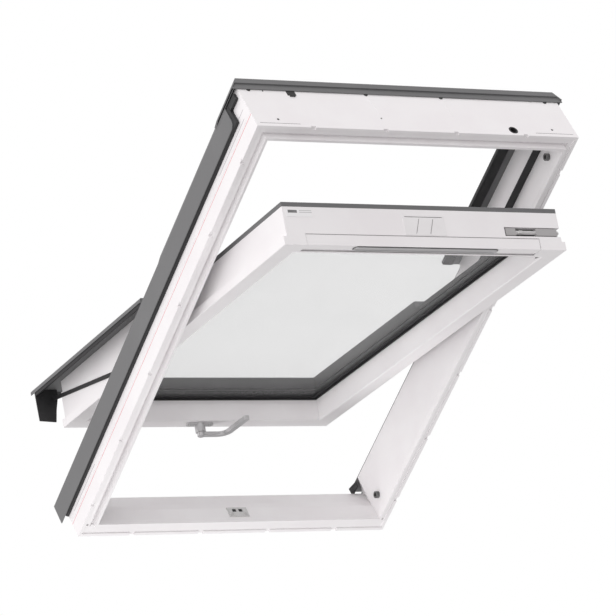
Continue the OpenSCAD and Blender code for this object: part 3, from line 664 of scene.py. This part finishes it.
class ROOFWINDOW_OT_trim(bpy.types.Operator):
    """Adds the cable bush, hood tabs, head ribs, dark inlays (mostly painted shade in holes, slots, grooves
    and the flap's gap) and liners, and finishes the blank label
    """

    bl_idname = "roof_window.trim"
    bl_label = "Small trim"

    def execute(self, context):
        scene = context.scene
        settings = scene.roof_window_trim
        fittings = scene.roof_window_fittings
        black = black_moulding(scene.roof_window_seals)
        # painted shade: dark sheets in holes, slots, grooves and gaps stand in for the shade there
        painted_shade = plastic("dark recess", fittings.shadow, 0.7)
        coat(("data_plate",), blank_label(settings))
        self.cable_bush(settings, black)
        self.hole_floors(painted_shade)
        self.head(settings, black, painted_shade, moulded_skin("white trim", scene.roof_window_moulding))
        self.sash(settings, black, painted_shade, plastic("dark cap", fittings.cap))
        self.flap_gap_shade(settings, painted_shade)
        self.pane_liners(black)
        self.catch(settings, painted_shade)
        self.bushes(painted_shade)
        return {"FINISHED"}

    def cable_bush(self, settings, black):
        """The bush in the cable hole, with a rounded lip on the head's up-slope face."""
        x, y = (part / MM for part in MOUNTS["cable_hole"][:2])
        radius, lip = settings.bush_radius, settings.bush_lip
        bore, sleeve, depth, rounding = 6.8 * MM, 8.2 * MM, 12 * MM, 0.6 * MM
        profile = [(bore, -depth), (bore, lip * 0.5), (bore + rounding, lip), (radius - rounding, lip),
                   (radius, lip * 0.4), (radius, 0.0), (sleeve, -0.1 * MM), (sleeve, -depth)]
        add_piece("cable_bush", lathe(profile, on_head(x, y), UP, ACROSS), black, "frame")

    def hole_floors(self, painted_shade):
        """Painted shade: dark floors in the cable hole, the two pilot holes and the two grooves beside them.
        """
        x, y = (part / MM for part in MOUNTS["cable_hole"][:2])
        floors = [ring(on_head(x, y, -10), 8.3 * MM, ACROSS, OUT)]
        pilots = [[part / MM for part in MOUNTS[name][:2]] for name in ("pilot_left", "pilot_right")]
        floors += [ring(on_head(x, y, -1.0), 2.9 * MM, ACROSS, OUT, 24) for x, y in pilots]
        groove, half = (9.05, 10.15), 47
        floors += [rectangle(lambda across, y: on_head(across, y, -0.3), (x - half, x + half), groove)
                   for x, y in pilots]
        add_piece("hole_floors", prisms(floors, -1 * MM * UP), painted_shade, "frame")

    def head(self, settings, black, painted_shade, white):
        """Dots, tabs and ribs on the head's up-slope face; the dots are in the painted-shade recess colour.
        """
        dots = [ring(on_head(x, y), 1.7 * MM, ACROSS, OUT, 20) for x, y in ((-82, 38), (-333, 112))]
        add_piece("locating_dots", prisms(dots, settings.inlay * UP), painted_shade, "frame")
        hood_edge, tab_height = 114, 1.6 * MM
        tabs = [ring(on_head(x, hood_edge), settings.tab_width / 2, ACROSS, -OUT, 16, 0.0, math.pi)
                for x in (-366, -87, 96, 357)]
        add_piece("hood_tabs", prisms(tabs, tab_height * UP), black, "frame", 0.3 * MM)
        half, far, near = settings.rib_width / MM / 2, 108, 54
        ribs = [[on_head(x0 - half, far), on_head(x0 + half, far), on_head(x1 + half, near),
                 on_head(x1 - half, near)] for x0, x1 in ((-87, -79), (96, 100))]
        add_piece("head_ribs", prisms(ribs, settings.rib_height * UP), white, "frame",
                  0.2 * MM)

    def sash(self, settings, black, painted_shade, dark):
        """Inlays in the grooves and slots of the sash's fittings: a black grip bed, and painted shade in the
        latch grooves and the bolt slot; also the small dark corner cap.
        """
        thin = settings.inlay
        middle, half, radius = on_sash(0, 0, 12.5), 165 * MM, 10.2 * MM
        bed = (ring(middle + half * ACROSS, radius, -SASH_DOWN, ACROSS, 20, 0.0, math.pi)
               + ring(middle - half * ACROSS, radius, SASH_DOWN, -ACROSS, 20, 0.0, math.pi))
        add_piece("grip_bed", prisms([bed], -thin * SASH_OUT), black, "vent_flap")

        slant, length, width, floor = math.radians(-20), 17.5 * MM, 0.6 * MM, 0.9  # length and width halved
        lean = -math.sin(slant) * ACROSS + math.cos(slant) * SASH_OUT
        cross = math.cos(slant) * ACROSS + math.sin(slant) * SASH_OUT
        # painted shade along the latch's grooves
        lines = []
        for x in (-17, 17):
            centre = on_sash(x, 47, floor)
            lines.append(rectangle(lambda a, b: centre + a * cross + b * lean, (-width, width),
                                   (-length, length)))
        lines.append(rectangle(lambda x, depth: on_sash(x, depth, floor), (-45, 45), (67.2, 68.2)))
        add_piece("latch_grooves", prisms(lines, -thin * SASH_DOWN), painted_shade, "sash")

        # painted shade in the bolt slot
        slot = rectangle(lambda x, depth: on_sash(x, depth, 9), (223, 272), (31.5, 48.5))
        add_piece("bolt_slot", prisms([slot], -2 * thin * SASH_DOWN), painted_shade, "sash")
        cap = [on_sash(x, 0, drop) for x, drop in ((286, 41), (296, 41), (291, 48))]
        add_piece("corner_cap", prisms([cap], -thin * SASH_OUT), dark, "sash", 0.1 * MM)

    def flap_gap_shade(self, settings, painted_shade):
        """Painted shadow: dark strips in the narrow gap round the ventilation flap."""
        left, right, back, foot, gap = -288.9, 277.9, 25.4, 33.4, 0.8
        sides = [(side, side + gap) for side in (left, right - gap)]
        span = (left, right)
        for name, place, near, end, along in (
                ("flap_gap_shade_top", lambda x, depth: on_sash(x, depth, 1.6), 1.2, back, SASH_DOWN),
                ("flap_gap_shade_face", lambda x, drop: on_sash(x, 1.6, drop), 2, foot, SASH_OUT)):
            strips = [rectangle(place, span, (end - gap, end))]
            strips += [rectangle(place, side, (near, end)) for side in sides]
            add_piece(name, prisms(strips, settings.inlay * along), painted_shade, "sash")

    def pane_liners(self, black):
        """Thin black rubber round the outer pane, up the inner walls of the sash's raised edges."""
        wall, thick, waist, foot = 312.95, 0.8, 567, SASH_DEPTH + 0.1
        for name, end, inward, height in (("upper_pane_liner", 28.05, 1, 8.8),
                                          ("lower_pane_liner", 1046.25, -1, 23.6)):
            inner, near = wall - thick, end + inward * thick
            outline = [on_sash(x, foot, drop) for x, drop in (
                (-wall, waist), (-wall, end), (wall, end), (wall, waist),
                (inner, waist), (inner, near), (-inner, near), (-inner, waist))]
            add_piece(name, prisms([outline], height * MM * SASH_OUT), black, "sash")

    def catch(self, settings, painted_shade):
        """Painted shade: dark floors of the striker's two slots."""
        height, y, half_width, half_depth = SILL_LIP + 0.1 * MM, 23.5, 4.9, 4.4
        floors = [rectangle(lambda a, b: Vector((a * MM, b * MM, height)), (x - half_width, x + half_width),
                            (y - half_depth, y + half_depth)) for x in (-8, 8)]
        add_piece("catch_floors", prisms(floors, settings.inlay * UP), painted_shade, "frame")

    def bushes(self, painted_shade):
        """Painted shade: dark discs in the bolt's four bushes, deeper than the bolt reaches."""
        low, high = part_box("bolt_bushes")
        middle = (low[2] + high[2]) / 2
        groups = {}
        for vert in NODES["bolt_bushes"].data.vertices:
            groups.setdefault((1 if vert.co.x > 0 else -1, vert.co.z > middle), []).append(vert.co)
        depth, radius = 7 * MM, 4.8 * MM
        floors = []
        for (side, upper), points in sorted(groups.items()):
            y, z = ((min(p[axis] for p in points) + max(p[axis] for p in points)) / 2 for axis in (1, 2))
            mouth = min(abs(p.x) for p in points)
            floors.append(ring(Vector((side * (mouth + depth), y, z)), radius, OUT, UP, 28))
        add_piece("bush_floors", prisms(floors, 0.3 * MM * ACROSS), painted_shade, "frame")


class ROOFWINDOW_OT_studio(bpy.types.Operator):
    """Places the camera, the floor, the backdrop and the light"""

    bl_idname = "roof_window.studio"
    bl_label = "Studio"

    def execute(self, context):
        settings = context.scene.roof_window_studio
        scene = context.scene
        camera = bpy.data.objects.new("camera", bpy.data.cameras.new("camera"))
        scene.collection.objects.link(camera)
        right, down = Vector(settings.right).normalized(), Vector(settings.down).normalized()
        back = right.cross(-down)
        turn = Matrix((right, -down, back)).transposed().to_4x4()
        camera.matrix_world = Matrix.Translation(Vector(settings.eye)) @ turn
        camera.data.sensor_width = 36.0
        camera.data.angle = settings.view_angle
        camera.data.clip_end = 100.0
        scene.camera = camera
        self.backdrop(scene, settings)
        self.light(scene, settings)
        scene.view_settings.view_transform = "Standard"
        return {"FINISHED"}

    def backdrop(self, scene, settings):
        """A pale floor and a dome that only the camera sees, so they throw no light on the object."""
        shader = Shader("pale studio paper")
        glow = shader.node("ShaderNodeEmission", Color=(1.0, 1.0, 1.0, 1.0), Strength=settings.backdrop)
        shader.node("ShaderNodeOutputMaterial", Surface=shader.signal(glow))
        under = Matrix.Translation((0, 0, CAD_BOX[0][2] - settings.floor_drop))
        floor, dome = bmesh.new(), bmesh.new()
        bmesh.ops.create_grid(floor, x_segments=2, y_segments=2, size=settings.floor_size, matrix=under)
        bmesh.ops.create_icosphere(dome, subdivisions=3, radius=settings.dome_radius)
        for name, build in (("floor", floor), ("backdrop", dome)):
            mesh = bpy.data.meshes.new(name)
            build.to_mesh(mesh)
            build.free()
            mesh.materials.append(shader.material)
            thing = bpy.data.objects.new(name, mesh)
            scene.collection.objects.link(thing)
            for ray in ("diffuse", "glossy", "transmission", "shadow"):
                setattr(thing, "visible_" + ray, False)

    def light(self, scene, settings):
        """Even light that grows to one side, a soft key light and a soft light low in front."""
        world = bpy.data.worlds.new("studio light")
        shader = Shader("studio light", world)
        split = shader.node("ShaderNodeSeparateXYZ",
                            Vector=shader.signal(shader.node("ShaderNodeTexCoord"), "Generated"))
        slope = Vector(settings.sky_slope)
        brightest = settings.sky + slope.length
        amount = settings.sky / brightest
        for index, output in enumerate(split.outputs):
            amount = Signal(shader, output) * (slope[index] / brightest) + amount
        amount = amount.most(settings.sky_least / brightest)
        tone = shader.tint(amount, (0.0, 0.0, 0.0, 1.0), rgba(settings.sky_tint))
        back = shader.node("ShaderNodeBackground", Color=tone, Strength=brightest)
        shader.node("ShaderNodeOutputWorld", Surface=shader.signal(back))
        scene.world = world
        key = bpy.data.lights.new("key light", "SUN")
        key.energy = settings.key
        key.angle = settings.key_spread
        low = bpy.data.lights.new("low light", "AREA")
        low.energy = settings.low_light
        low.size = settings.low_size
        low_place, low_aim = Vector(settings.low_place), Vector(settings.low_aim)
        for lamp, place, facing in ((key, Vector(), Vector(settings.key_towards)),
                                    (low, low_place, low_place - low_aim)):
            thing = bpy.data.objects.new(lamp.name, lamp)
            thing.location = place
            thing.rotation_euler = facing.to_track_quat("Z", "Y").to_euler()
            scene.collection.objects.link(thing)


class ROOFWINDOW_PT_panel(bpy.types.Panel):
    """Lists the finishes of the roof window"""

    bl_label = "Roof Window"
    bl_idname = "ROOFWINDOW_PT_panel"
    bl_space_type = "VIEW_3D"
    bl_region_type = "UI"
    bl_category = "Roof Window"

    def draw(self, context):
        for name, group in GROUPS:
            box = self.layout.box()
            settings = getattr(context.scene, name)
            for key in group.__annotations__:
                box.prop(settings, key)
        for operator in OPERATORS:
            self.layout.operator(operator.bl_idname)


OPERATORS = (
    ROOFWINDOW_OT_mouldings,
    ROOFWINDOW_OT_covers,
    ROOFWINDOW_OT_seals,
    ROOFWINDOW_OT_fittings,
    ROOFWINDOW_OT_glazing,
    ROOFWINDOW_OT_trim,
    ROOFWINDOW_OT_studio,
)


def register():
    for name, group in GROUPS:
        bpy.utils.register_class(group)
        setattr(bpy.types.Scene, name, PointerProperty(type=group))
    for operator in OPERATORS:
        bpy.utils.register_class(operator)
    bpy.utils.register_class(ROOFWINDOW_PT_panel)


def unregister():
    bpy.utils.unregister_class(ROOFWINDOW_PT_panel)
    for operator in reversed(OPERATORS):
        bpy.utils.unregister_class(operator)
    for name, group in reversed(GROUPS):
        delattr(bpy.types.Scene, name)
        bpy.utils.unregister_class(group)


def main():
    register()
    bpy.ops.roof_window.mouldings()
    bpy.ops.roof_window.covers()
    bpy.ops.roof_window.seals()
    bpy.ops.roof_window.fittings()
    bpy.ops.roof_window.glazing()
    bpy.ops.roof_window.trim()
    bpy.ops.roof_window.studio()


if __name__ == "__main__":
    main()
